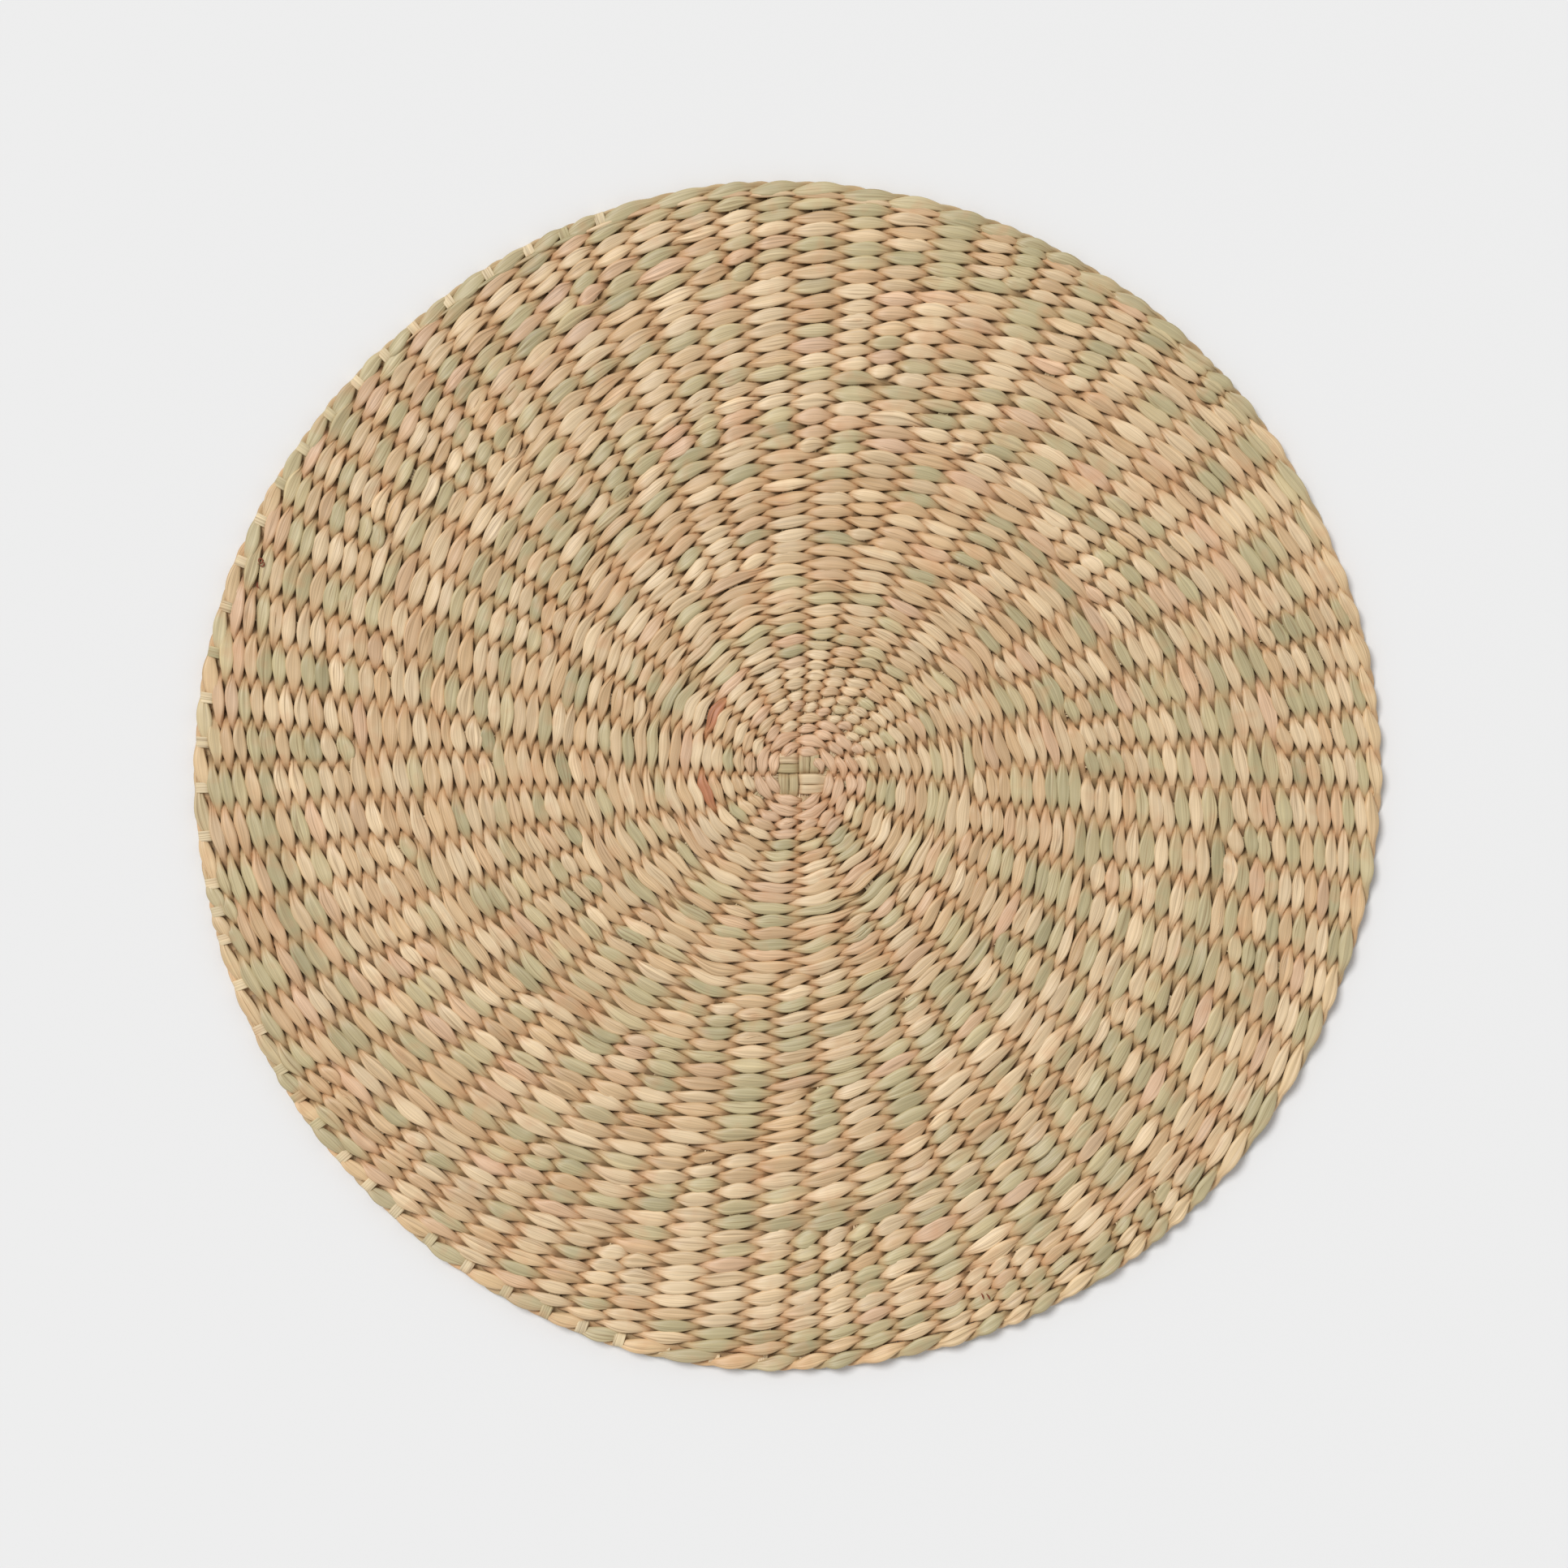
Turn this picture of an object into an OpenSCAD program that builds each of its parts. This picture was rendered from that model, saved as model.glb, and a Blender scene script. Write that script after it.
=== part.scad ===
// Round twined seagrass seat mat: spokes of split leaf, two strands of leaf
// twined round them in one spiral, and a bundled rim held by the spoke ends.
// The mat lies on Z = 0 and the origin is under the middle of its outline.

/* [Mat] */
// Outer diameter across the folded rim
mat_d = 380; // [200:5:480]
// How far the woven middle lies to the side of the outline's middle
centre_drift = 2.7; // [0:0.1:5]

/* [Weft] */
// Thickness of one flattened weft strand
strand_t = 2.1; // [1.2:0.1:3.5]
// Radius of the first round, from the middle of the cross to the middle of the strand
first_round_r = 8; // [7:0.1:12]
// Distance from round to round next to the cross
pitch_centre = 3.4; // [2.6:0.1:5]
// Distance from round to round in the body of the mat
pitch_body = 4.65; // [3.2:0.05:6]
// Distance from round to round next to the rim, where the rounds are beaten close
pitch_rim = 3.7; // [2.8:0.05:6]
// Gap between neighbouring rounds
round_gap = 0.2; // [0.1:0.05:0.6]
// Bevel along the edges of a strand
strand_bevel = 0.5; // [0.2:0.05:0.8]

/* [Spokes] */
// Width of one spoke outside the cross
spoke_w = 3.2; // [2:0.1:4]
// Thickness of a spoke
spoke_t = 1.2; // [0.8:0.1:2.4]
// Width of one flat bundle where the bundles cross
bundle_w = 5.2; // [4:0.1:6]
// Gap between the two bundles that run side by side
bundle_gap = 1.5; // [1.2:0.1:2.5]
// Thickness of a bundle pressed flat where it crosses another
pressed_t = 0.5; // [0.3:0.05:0.6]
// Room between a spoke and the strands above and below it
spoke_clearance = 0.1; // [0.05:0.05:0.4]
// Longest stitch allowed before another spoke is laid in
stitch_l = 13; // [10:0.5:20]
// Radius at which the first four added spokes are laid in
first_added_r = 21; // [16:1:30]

/* [Rim] */
// Radial width of the bundle of leaves along the edge
rim_w = 2.4; // [1.6:0.1:4]
// Thickness of one leaf in the rim bundle
rim_leaf_t = 1.1; // [0.8:0.1:1.4]
// Thickness of a spoke end where it is folded round the rim bundle
fold_t = 0.6; // [0.4:0.1:1]
// Room between a folded spoke end and the rim bundle
fold_clearance = 0.1; // [0.05:0.05:0.3]

/* [Hidden] */
$fn = 96;
// A hair of length by which joined solids run into each other
BITE = 0.02;
// Eight arms leave the cross and each splits in two
CROSS_SPOKES = 16;
INNER_SPOKES = 20;
// Length over which an arm of the cross runs straight before it splits
ARM_LEAD = 1.5;
// Radii between which the rounds widen from pitch_centre to pitch_body
WIDEN_FROM = 30;
WIDEN_TO = 130;
// Width of the band at the rim over which the rounds are beaten close
CLOSE_BAND = 22;
// Share of the way that a spoke moves to the middle of its neighbours, each round
SPREAD = 0.22;
// A spoke's outline has a point at every fourth round
SPOKE_STEP = 4;
RIM_LEAVES = 3;

// Heights: strand below, spoke between, strand above
spoke_z = strand_t + spoke_clearance;
over_z = spoke_z + spoke_t + spoke_clearance;
mat_t = over_z + strand_t;

// Radii at the rim, from the outside in
rim_outer_r = mat_d / 2 - fold_t - fold_clearance;
rim_inner_r = rim_outer_r - rim_w;
fold_inner_r = rim_inner_r - fold_clearance - fold_t;
last_edge_r = fold_inner_r - round_gap;
// The last half turn stands half a round further out than its first half
last_round_r = last_edge_r - pitch_rim;

// Round radii: laid out by pitch, then beaten up so that the last one meets the rim
function mix(a, b, t) = a + (b - a) * max(0, min(1, t));
function pitch_at(r) =
    min(mix(pitch_centre, pitch_body, (r - WIDEN_FROM) / (WIDEN_TO - WIDEN_FROM)),
        mix(pitch_rim, pitch_body, (last_round_r - r) / CLOSE_BAND));
function lay_out(r, done = []) =
    r > last_round_r + pitch_rim / 2 ? done : lay_out(r + pitch_at(r), concat(done, [r]));
laid_out = lay_out(first_round_r);
rounds = len(laid_out);
beat_up = (last_round_r - first_round_r) / (laid_out[rounds - 1] - first_round_r);

// Radii and middles are whole hundredths, so that the half turns meet without a step
function hundredth(v) = round(v * 100) / 100;
function round_r(k) = hundredth(first_round_r + (laid_out[k] - first_round_r) * beat_up);
function round_pitch(k) = k < rounds - 1 ? round_r(k + 1) - round_r(k) : pitch_rim;
function strand_w(k) =
    min([for (j = [-1 : 1]) round_pitch(max(0, min(rounds - 1, k + j)))]) - round_gap;
// The rounds creep sideways from the middle of the cross to the middle of the rim
function round_x(k) = hundredth(mix(centre_drift, -pitch_rim / 2, k / (rounds - 1)));
weave_y = pitch_rim / 4;
// Each round ends where the next one starts, so its own step outwards is this
function round_step(k) = k < rounds - 1
    ? round_x(k + 1) + round_r(k + 1) - round_x(k) - round_r(k)
    : pitch_rim;

// Spoke layout: a list of [number, angle] for each round
function gap_after(s, i) =
    (i < len(s) - 1 ? s[i + 1][1] : s[0][1] + 360) - s[i][1];
function widest(s, i = 0, best = 0) =
    i == len(s) ? best : widest(s, i + 1, gap_after(s, i) > gap_after(s, best) + 0.01 ? i : best);
function lay_in(s, i) = [
    for (j = [0 : len(s) - 1]) each j == i
        ? [s[j], [len(s), s[j][1] + gap_after(s, j) / 2]]
        : [s[j]]
];
function fill_in(s, n) = len(s) >= n ? s : fill_in(lay_in(s, widest(s)), n);
function spread_out(s) = let (n = len(s)) [
    for (i = [0 : n - 1]) let (
        before = i > 0 ? s[i - 1][1] : s[n - 1][1] - 360,
        after = i < n - 1 ? s[i + 1][1] : s[0][1] + 360
    ) [s[i][0], s[i][1] + SPREAD * ((before + after) / 2 - s[i][1])]
];
function spokes_at(r) =
    r < first_added_r ? CROSS_SPOKES : max(INNER_SPOKES, round(2 * PI * r / stitch_l));
function lay_spokes(k, s, done = []) = k == rounds
    ? done
    : let (t = spread_out(fill_in(s, spokes_at(round_r(k)))))
        lay_spokes(k + 1, t, concat(done, [t]));
first_spokes = [
    for (j = [0 : CROSS_SPOKES - 1]) [j, (j + 0.5) * 360 / CROSS_SPOKES]
];
layout = lay_spokes(0, first_spokes);
spokes = len(layout[rounds - 1]);

// Angle of one spoke at one round, and the first round that crosses it
function angle_of(n, k) = [for (s = layout[k]) if (s[0] == n) s[1]][0];
function first_round_of(n) = min([for (k = [0 : rounds - 1]) if (len(layout[k]) > n) k]);
function on_round(k, a) = [round_x(k) + round_r(k) * cos(a), weave_y + round_r(k) * sin(a)];

// Path of a spoke: chosen rounds on its way out, then the inner face of its fold
function rim_angle(n) = let (p = on_round(rounds - 1, angle_of(n, rounds - 1))) atan2(p[1], p[0]);
function path_rounds(from) = [
    for (k = [from : rounds - 1])
        if (k == from || k == rounds - 1 || (k % SPOKE_STEP == 0 && k > from + 1 && k < rounds - 3)) k
];
function at_rim(n) = (fold_inner_r + fold_t / 2) * [cos(rim_angle(n)), sin(rim_angle(n))];
function path_from(n, k) = concat(
    [for (j = path_rounds(k)) on_round(j, angle_of(n, j))], [at_rim(n)]);

// Outline of a flat strip that follows a path, with its width at each point
function heading(p, i) = let (
    d = p[min(i + 1, len(p) - 1)] - p[max(i - 1, 0)]
) d / norm(d);
function side(p, w, s) = [
    for (i = [0 : len(p) - 1]) let (d = heading(p, i)) p[i] + s * w[i] / 2 * [-d[1], d[0]]
];
function strip(p, w) = let (right = side(p, w, -1)) concat(
    side(p, w, 1), [for (i = [len(p) - 1 : -1 : 0]) right[i]]);

// Colours of the leaf
tan_leaf = "#d3b487";
green_leaf = "#a3a277";
straw_leaf = "#dec69c";
olive_leaf = "#b3a77c";

// Names of the added spokes by where they start, as shares of the way out
zone_ends = [0, 0.35, 0.62, 1.01];
function zone_start(n) = round_r(first_round_of(n)) / last_round_r;

function two_digits(k) = k < 10 ? str("0", k) : str(k);
ROUND_NODES = [for (k = [1 : rounds]) str("weft_round_", two_digits(k))];

// Bevelled section of a flattened leaf, standing on z, its middle at radius r
module leaf_section(r, w, z, t) {
    b = min(strand_bevel, t / 3);
    translate([r, z])
        polygon([
            [-w / 2 + b, 0], [w / 2 - b, 0], [w / 2, b], [w / 2, t - b],
            [w / 2 - b, t], [-w / 2 + b, t], [-w / 2, t - b], [-w / 2, b]
        ]);
}

// One full turn of one strand: two half circles whose middles lie half a step apart
module turn(k, z) {
    half_step = round_step(k) / 2;
    translate([round_x(k), weave_y, 0])
        rotate_extrude(angle = 180) leaf_section(round_r(k), strand_w(k), z, strand_t);
    translate([round_x(k) + half_step, weave_y, 0])
        rotate([0, 0, 180])
            rotate_extrude(angle = 180)
                leaf_section(round_r(k) + half_step, strand_w(k), z, strand_t);
}

// A pair of strands once round the mat, one under the spokes and one over them
module weft_round(k) {
    color(k % 3 == 1 ? green_leaf : tan_leaf) {
        turn(k, 0);
        turn(k, over_z);
    }
}

// End of a spoke, folded once round the rim bundle
module fold(n) {
    high = RIM_LEAVES * rim_leaf_t + (RIM_LEAVES + 1) * fold_clearance;
    rotate([0, 0, rim_angle(n)])
        translate([fold_inner_r, 0, mat_t / 2])
            rotate([90, 0, 0])
                linear_extrude(height = spoke_w, center = true)
                    translate([0, -high / 2])
                        difference() {
                            translate([0, -fold_t])
                                square([mat_d / 2 - fold_inner_r, high + 2 * fold_t]);
                            translate([fold_t, 0])
                                square([rim_w + 2 * fold_clearance, high]);
                        }
}

module flat_strip(path, widths) {
    translate([0, 0, spoke_z])
        linear_extrude(height = spoke_t)
            polygon(strip(path, widths));
}

// Widths along a spoke: wider on its arm, and a hair narrower than its fold where it joins it
function spoke_widths(path, on_arm = 0) = [
    for (i = [0 : len(path) - 1])
        i < on_arm ? bundle_w / 2 + 2 * BITE : i < len(path) - 1 ? spoke_w : spoke_w - 4 * BITE
];

// An added spoke starts as a cut end and runs out to the rim
module added_spoke(n) {
    path = path_from(n, first_round_of(n));
    flat_strip(path, spoke_widths(path));
    fold(n);
}

module spokes_added(zone) {
    color(straw_leaf)
        for (n = [CROSS_SPOKES : spokes - 1])
            if (zone_start(n) >= zone_ends[zone] && zone_start(n) < zone_ends[zone + 1])
                added_spoke(n);
}

// Half of a bundle's arm, which becomes one spoke; it leaves the cross at out, along ahead
module cross_spoke(n, out, ahead) {
    path = concat([out, out + ARM_LEAD * ahead], path_from(n, 1));
    flat_strip(path, spoke_widths(path, 3));
    fold(n);
}

// Side of the crossing square, measured from its middle
cross_half = bundle_w + bundle_gap / 2;

// The pressed middle of a bundle: high over the bundle on one side, low under the other
module pressed_middle(high_side) {
    low = 0;
    high = spoke_t - pressed_t;
    reach = cross_half + 2 * BITE + bundle_gap / 4;
    ramp = bundle_gap / 3;
    left = high_side < 0 ? high : low;
    right = high_side < 0 ? low : high;
    translate([0, 0, spoke_z])
        rotate([90, 0, 0])
            linear_extrude(height = bundle_w, center = true)
                polygon([
                    [-reach, left], [-ramp, left], [ramp, right], [reach, right],
                    [reach, right + pressed_t], [ramp, right + pressed_t],
                    [-ramp, left + pressed_t], [-reach, left + pressed_t]
                ]);
}

// A bundle runs right through the cross; turned says which way it lies
module cross_bundle(turned, side_of_axis, high_side) {
    middle = side_of_axis * (bundle_w + bundle_gap) / 2;
    centre = [round_x(0), weave_y];
    translate([centre[0], centre[1], 0])
        rotate([0, 0, turned])
            translate([0, middle, 0])
                pressed_middle(high_side);
    quarter = CROSS_SPOKES / 4;
    for (end = [1, -1], half = [-1, 1]) {
        // Across the bundle, and along it, in the turned frame
        across = middle + half * bundle_w / 4;
        along = end * (cross_half + bundle_gap / 4);
        out = centre + [
            along * cos(turned) - across * sin(turned),
            along * sin(turned) + across * cos(turned)
        ];
        // The spoke whose angle lies on this side of this arm
        step = side_of_axis * half > 0 ? 1 : 0;
        on_arm = side_of_axis > 0 ? step : -1 - step;
        arm = turned / 90 * quarter;
        number = end > 0 ? arm + on_arm : arm + 2 * quarter - 1 - on_arm;
        cross_spoke((number + CROSS_SPOKES) % CROSS_SPOKES, out, end * [cos(turned), sin(turned)]);
    }
}

module cross_bundle_north() {
    color(green_leaf) cross_bundle(0, 1, -1);
}

module cross_bundle_south() {
    color(straw_leaf) cross_bundle(0, -1, 1);
}

module cross_bundle_east() {
    color(olive_leaf) cross_bundle(90, -1, 1);
}

module cross_bundle_west() {
    color(olive_leaf) cross_bundle(90, 1, -1);
}

// One of the leaves that run round the edge inside the folded spoke ends
module rim_leaf(level) {
    bundle_t = RIM_LEAVES * rim_leaf_t + (RIM_LEAVES - 1) * fold_clearance;
    z = (mat_t - bundle_t) / 2 + level * (rim_leaf_t + fold_clearance);
    color(level == 1 ? green_leaf : tan_leaf)
        rotate_extrude()
            leaf_section(rim_inner_r + rim_w / 2, rim_w, z, rim_leaf_t);
}

cross_bundle_north();
cross_bundle_south();
cross_bundle_east();
cross_bundle_west();
spokes_added(0);  // spokes_added_inner
spokes_added(1);  // spokes_added_middle
spokes_added(2);  // spokes_added_outer
rim_leaf(0);  // rim_leaf_lower
rim_leaf(1);  // rim_leaf_middle
rim_leaf(2);  // rim_leaf_upper
for (k = [0 : rounds - 1])
    weft_round(k);
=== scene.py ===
import math

import bpy
import numpy as np
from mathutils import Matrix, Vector


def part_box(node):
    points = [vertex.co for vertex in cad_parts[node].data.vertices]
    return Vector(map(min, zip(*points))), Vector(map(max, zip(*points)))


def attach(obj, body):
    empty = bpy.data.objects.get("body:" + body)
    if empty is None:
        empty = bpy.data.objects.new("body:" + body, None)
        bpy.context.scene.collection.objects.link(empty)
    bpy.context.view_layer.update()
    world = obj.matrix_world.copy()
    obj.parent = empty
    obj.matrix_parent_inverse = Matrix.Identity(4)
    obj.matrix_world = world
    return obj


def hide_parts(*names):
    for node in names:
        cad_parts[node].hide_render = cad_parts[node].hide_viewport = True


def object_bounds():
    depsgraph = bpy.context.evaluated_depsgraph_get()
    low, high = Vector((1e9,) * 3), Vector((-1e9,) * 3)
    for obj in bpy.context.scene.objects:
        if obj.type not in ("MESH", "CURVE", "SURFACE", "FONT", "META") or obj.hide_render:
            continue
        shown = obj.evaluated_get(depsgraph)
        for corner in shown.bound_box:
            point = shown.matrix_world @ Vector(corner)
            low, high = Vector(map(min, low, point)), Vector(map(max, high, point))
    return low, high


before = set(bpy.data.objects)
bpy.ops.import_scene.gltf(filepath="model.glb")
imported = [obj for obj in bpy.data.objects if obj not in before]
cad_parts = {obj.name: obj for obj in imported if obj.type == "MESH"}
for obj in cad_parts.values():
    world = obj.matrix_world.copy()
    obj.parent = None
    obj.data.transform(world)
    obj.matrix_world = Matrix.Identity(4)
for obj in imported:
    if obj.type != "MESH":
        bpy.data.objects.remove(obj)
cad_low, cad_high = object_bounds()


# ---- Camera -------------------------------------------------------------------------------
# The mat is seen from straight above through a long lens, so that its outline stays round.
# It lies a little right of and above the middle of the view.
MAT_D = cad_high.x - cad_low.x
MAT_T = cad_high.z - cad_low.z
VIEW_W = 1.3224 * MAT_D
RIGHT_OF_MIDDLE = 0.0031 * MAT_D
ABOVE_MIDDLE = 0.0065 * MAT_D
LENS_MM = 85
SENSOR_MM = 36

camera_data = bpy.data.cameras.new("camera_above")
camera_data.lens = LENS_MM
camera_data.sensor_width = SENSOR_MM
camera = bpy.data.objects.new("camera_above", camera_data)
camera.location = (-RIGHT_OF_MIDDLE, -ABOVE_MIDDLE, MAT_T + VIEW_W * LENS_MM / SENSOR_MM)
bpy.context.scene.collection.objects.link(camera)
bpy.context.scene.camera = camera


# ---- Floor and light ----------------------------------------------------------------------
# A plain pale sweep, matt all over, under plain studio light: a broad soft key light from the
# upper left, which throws the short shadow at the lower right, and an even sky.
def linear(hex_colour):
    """sRGB hex to linear red, green, blue and an alpha of 1."""
    parts = [int(hex_colour[i:i + 2], 16) / 255 for i in (1, 3, 5)]
    curve = [c / 12.92 if c <= 0.04045 else ((c + 0.055) / 1.055) ** 2.4 for c in parts]
    return (*curve, 1.0)


def add(tree, kind, sockets=None, **settings):
    """Adds a shader node. A socket's value is a number, a colour or the socket that feeds it."""
    made = tree.nodes.new("ShaderNode" + kind)
    for name, value in settings.items():
        setattr(made, name, value)
    for key, value in (sockets or {}).items():
        if isinstance(value, bpy.types.NodeSocket):
            tree.links.new(value, made.inputs[key])
        else:
            made.inputs[key].default_value = value
    return made


def new_material(name):
    """An empty node material and its tree."""
    material = bpy.data.materials.new(name)
    material.use_nodes = True
    material.node_tree.nodes.clear()
    return material, material.node_tree


# Matt paper sweep: an even pale grey with no gloss to the eye, only the faintest mottle.
sweep, tree = new_material("matt_paper_sweep")
mottle = add(tree, "TexNoise", {"Scale": 30.0, "Detail": 2.0})
grey = add(tree, "ValToRGB", {"Fac": mottle.outputs["Fac"]})
grey.color_ramp.elements[0].color = linear("#e8e8e8")
grey.color_ramp.elements[1].color = linear("#eaeaea")
surface = add(tree, "BsdfPrincipled", {
    "Base Color": grey.outputs["Color"], "Roughness": 0.95, "Specular IOR Level": 0.1})
add(tree, "OutputMaterial", {"Surface": surface.outputs["BSDF"]})

FLOOR_HALF = 60 * MAT_D
floor_mesh = bpy.data.meshes.new("floor")
floor_mesh.from_pydata(
    [(x * FLOOR_HALF, y * FLOOR_HALF, cad_low.z) for x, y in ((-1, -1), (1, -1), (1, 1), (-1, 1))],
    [], [(0, 1, 2, 3)])
floor_mesh.materials.append(sweep)
floor = bpy.data.objects.new("floor", floor_mesh)
bpy.context.scene.collection.objects.link(floor)

KEY_TO_UPPER_LEFT = (-1.0, 1.0, 2.4)
soft_key_data = bpy.data.lights.new("soft_key", "SUN")
soft_key_data.angle = math.radians(24)
soft_key_data.energy = 2.1
soft_key = bpy.data.objects.new("soft_key", soft_key_data)
soft_key.rotation_euler = Vector(KEY_TO_UPPER_LEFT).to_track_quat("Z", "Y").to_euler()
bpy.context.scene.collection.objects.link(soft_key)

sky = bpy.data.worlds.new("even_sky")
sky.use_nodes = True
sky.node_tree.nodes["Background"].inputs["Color"].default_value = (1, 1, 1, 1)
sky.node_tree.nodes["Background"].inputs["Strength"].default_value = 0.47
bpy.context.scene.world = sky
bpy.context.scene.view_settings.view_transform = "Standard"


# ---- Crossed bundles and their spokes ------------------------------------------------------
# Four flat bundles of split seagrass leaf cross in the middle as a two by two check. Their
# eight arms split in two, and the sixteen spokes, each a few narrow leaves side by side, run
# out to the rim, where they are folded round the edge.
MM = 0.001
rng = np.random.default_rng(7)

# Where the rounds of weft lie, from the boxes of the CAD rounds: the weft crosses the +X side
# after each full turn and the -X side after each half turn.
ROUND_GAP = 0.2 * MM
round_names = sorted(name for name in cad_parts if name.startswith("weft_round_"))
ROUNDS = len(round_names)
boxes = [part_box(name) for name in round_names]
edge_right = np.array([high.x for low, high in boxes])
edge_left = np.array([low.x for low, high in boxes])
pitch = np.gradient(edge_right)
strand_w = pitch - ROUND_GAP
right_mid = edge_right - strand_w / 2
left_mid = edge_left + strand_w / 2
MIDDLE_Y = (boxes[0][0].y + boxes[0][1].y) / 2 + pitch[0] / 4


def spiral(turn):
    """Middle (x), radius and angle of the weft spiral after so many turns."""
    turn = np.asarray(turn, float)
    # Past the last full round the weft is beaten into the wedge left beside the rim
    past = np.maximum(turn - ROUNDS, 0)
    at = turn - (past > 0)
    full = np.arange(ROUNDS + 1)
    rights = np.concatenate([[2 * right_mid[0] - right_mid[1]], right_mid])
    right = np.interp(at, full, rights)
    left = np.interp(at, full[:-1] + 0.5, left_mid)
    left = np.where(at > ROUNDS - 0.5, left_mid[-1] - (at - ROUNDS + 0.5) * pitch[-1], left)
    left = np.where(at < 0.5, left_mid[0] - (at - 0.5) * pitch[0], left)
    wedge = np.where(past > 0, pitch[-1] / 2 * (1 + wedge_share(past)), 0)
    return (right + left) / 2, (right - left) / 2 + wedge, 2 * math.pi * turn


def wedge_share(past):
    """Width of that wedge as a share of a whole round."""
    return (1 + np.cos(2 * math.pi * past)) / 2


def on_spiral(turn, outward=0.0):
    """Points in plan on the spiral, moved outwards by a distance."""
    middle, radius, angle = spiral(turn)
    r = radius + outward
    return np.stack([middle + r * np.cos(angle), MIDDLE_Y + r * np.sin(angle)], -1)


# Spokes: one more is laid in wherever two have spread too far apart, and each round nudges
# every spoke towards the middle of its neighbours.
CROSS_SPOKES = 16
INNER_SPOKES = 20
STITCH = 13 * MM            # distance wanted between one spoke and the next
FIRST_ADDED_R = 21 * MM     # no spoke is added nearer the middle than this
SPREAD = 0.22               # how far a round nudges a spoke, as a share of the way


def lay_spokes():
    """For each round, the spokes it crosses as [number, angle in degrees]."""
    spokes = [[n, (n + 0.5) * 360 / CROSS_SPOKES] for n in range(CROSS_SPOKES)]
    rounds = []
    for k in range(ROUNDS):
        radius = (edge_right[k] - edge_left[k] - pitch[k]) / 2 - strand_w[k] / 2
        wanted = CROSS_SPOKES
        if radius > FIRST_ADDED_R:
            wanted = max(INNER_SPOKES, round(2 * math.pi * radius / STITCH))
        while len(spokes) < wanted:
            gaps = [b[1] - a[1] for a, b in zip(spokes, spokes[1:] + [[0, spokes[0][1] + 360]])]
            best = 0
            for i, gap in enumerate(gaps):
                if gap > gaps[best] + 0.01:
                    best = i
            spokes.insert(best + 1, [len(spokes), spokes[best][1] + gaps[best] / 2])
        before = [spokes[-1][1] - 360] + [s[1] for s in spokes[:-1]]
        after = [s[1] for s in spokes[1:]] + [spokes[0][1] + 360]
        spokes = [[s[0], s[1] + SPREAD * ((b + a) / 2 - s[1])]
                  for s, b, a in zip(spokes, before, after)]
        rounds.append([list(s) for s in spokes])
    return rounds


layout = lay_spokes()
SPOKES = len(layout[-1])
WEDGE_END = 0.37       # the last leaves run this share of a turn into the wedge
# Turns of the spiral at which each spoke is crossed
crossings = {n: [] for n in range(SPOKES)}
for k, spokes in enumerate(layout):
    for n, angle in spokes:
        crossings[n].append(k + angle / 360)
# The first two rounds are twined round whole arms of the cross, two spokes at a time
ARM_ROUNDS = 2
arms = [k + (layout[k][i][1] + layout[k][i + 1][1]) / 720
        for k in range(ARM_ROUNDS) for i in range(0, CROSS_SPOKES, 2)]
all_turns = np.sort(np.concatenate(
    [arms]
    + [[turn for turn in crossings[n] if turn >= ARM_ROUNDS] for n in crossings]
    + [[ROUNDS + angle / 360 for n, angle in layout[-1] if angle / 360 < WEDGE_END]]))


OFF_ROUND = 0.3 * MM
WANDER = 0.42 * MM
RIPPLE = 0.30 * MM


def off_true(points):
    """Hand made: the outline is a little off round, and the rounds wander by half a millimetre."""
    x, y = points[:, 0], points[:, 1]
    r, a = np.hypot(x, y), np.arctan2(y, x)
    share = np.clip(r / (MAT_D / 2), 0, 1)
    lobes = np.cos(2 * a - 2.4) + np.cos(4 * a) + np.cos(5 * a - 2.3) + np.cos(7 * a)
    between = 4 * share * (1 - share)
    wander = np.sin(9 * a + 5 * np.sin(11 * share)) * np.sin(17 * share + 2 * np.cos(a))
    ripple = np.sin(23 * a + 6 * np.cos(7 * share))
    out = OFF_ROUND * share * lobes + between * (WANDER * wander + RIPPLE * ripple)
    moved = points.copy()
    moved[:, 0] += out * np.cos(a)
    moved[:, 1] += out * np.sin(a)
    return moved


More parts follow.
